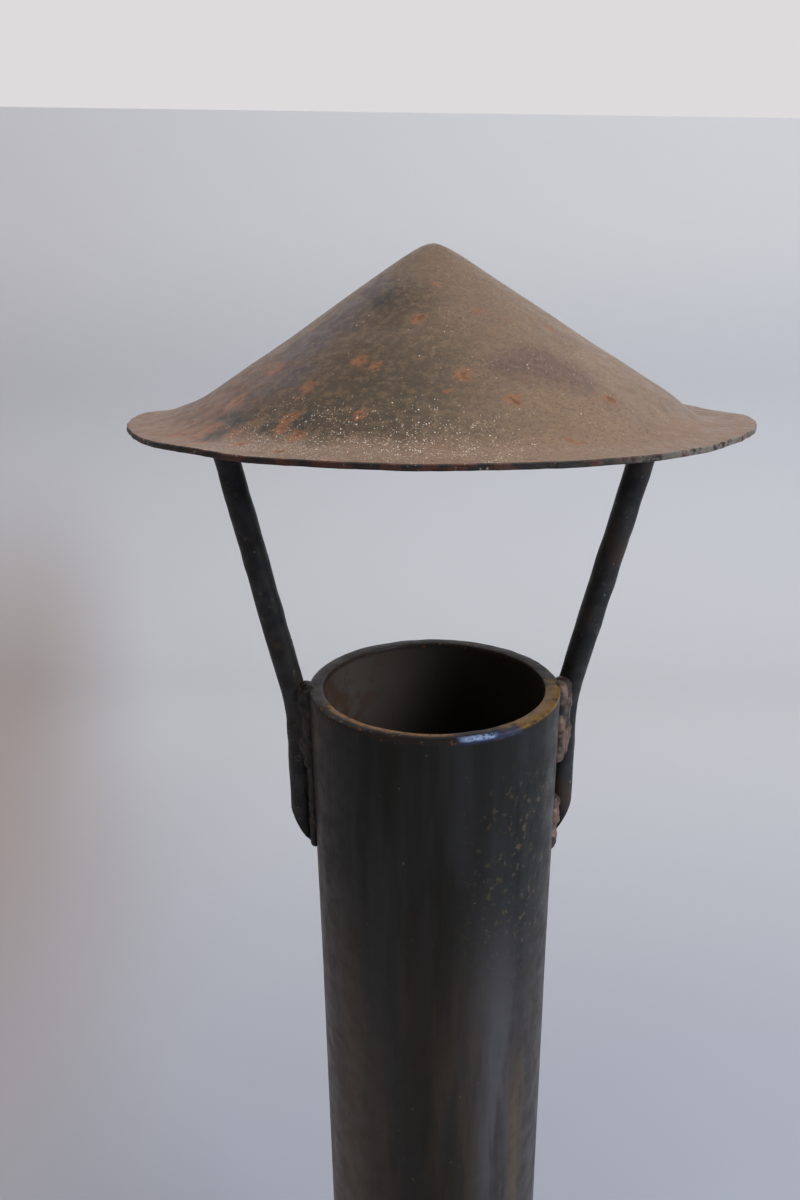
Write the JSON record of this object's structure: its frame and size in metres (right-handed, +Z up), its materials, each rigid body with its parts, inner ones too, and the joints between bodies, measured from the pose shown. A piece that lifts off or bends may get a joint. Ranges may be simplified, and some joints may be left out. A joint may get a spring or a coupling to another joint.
{
  "type": "charcoal iron",
  "caption": "Charcoal flat iron with a hinged lid, wooden grip, draught door, grate and a tall flue pipe under a cone rain cap on two stays.",
  "frame": {"origin": "on the ground under the middle of the overall length and width", "axes": "+Z up, +Y towards the toe, +X to the right seen from the heel"},
  "size_m": [0.104, 0.2158, 0.328],
  "materials": {
    "ground_steel": "ground and worn on the underside, dark oxide elsewhere",
    "black_steel": "blackened mild steel with a soft oil sheen and rust specks",
    "rusty_sheet": "hammered sheet steel with brown patina and rust spots",
    "cast_iron": "sooty cast iron",
    "rivet_steel": "dark steel with rubbed heads",
    "turned_wood": "turned beech darkened by hand use",
    "brass": "tarnished turned brass"
  },
  "bodies": {
    "root": {"sole_plate": "ground_steel", "body_wall": "black_steel", "heel_plate": "black_steel", "nose_deck": "black_steel", "flue_collar": "black_steel", "collar_rivet_1": "rivet_steel", "collar_rivet_2": "rivet_steel", "collar_rivet_3": "rivet_steel", "collar_rivet_4": "rivet_steel", "chimney_pipe": "black_steel", "stay_left": "black_steel", "stay_right": "black_steel", "rain_cap": "rusty_sheet", "fire_grate": "cast_iron", "grate_rail_left": "black_steel", "grate_rail_right": "black_steel", "catch_keeper": "black_steel", "keeper_rivet_1": "rivet_steel", "keeper_rivet_2": "rivet_steel", "door_pivot": "rivet_steel", "hinge_leaf_body": "black_steel", "hinge_rivet_1": "rivet_steel", "hinge_rivet_2": "rivet_steel", "hinge_pin": "rivet_steel"},
    "lid": {"lid_plate": "black_steel", "lid_skirt": "black_steel", "hinge_leaf_lid": "black_steel", "lid_leaf_rivet_1": "rivet_steel", "lid_leaf_rivet_2": "rivet_steel", "handle_post_front": "black_steel", "handle_post_rear": "black_steel", "post_rivet_1": "rivet_steel", "post_rivet_2": "rivet_steel", "post_rivet_3": "rivet_steel", "post_rivet_4": "rivet_steel", "heat_shield": "black_steel", "handle_grip": "turned_wood", "ferrule_front": "brass", "ferrule_rear": "brass", "handle_rod": "rivet_steel", "handle_nut_front": "rivet_steel", "handle_nut_rear": "rivet_steel", "catch_pivot": "rivet_steel"},
    "catch": {"lid_catch": "black_steel"},
    "door": {"draught_door": "black_steel", "door_knob": "brass"}
  },
  "joints": [
    {"name": "lid_hinge", "type": "hinge", "parent": "root", "child": "lid", "pos_m": [0, -0.0999, 0.0808], "axis": [1, 0, 0], "range_deg": [0, 100]},
    {"name": "catch_turn", "type": "hinge", "parent": "lid", "child": "catch", "pos_m": [0, 0.0093, 0.0813], "axis": [0, 0, 1], "range_deg": [0, 90]},
    {"name": "door_swing", "type": "hinge", "parent": "root", "child": "door", "pos_m": [0, -0.0957, 0.047], "axis": [0, 1, 0], "range_deg": [-95, 95]}
  ]
}
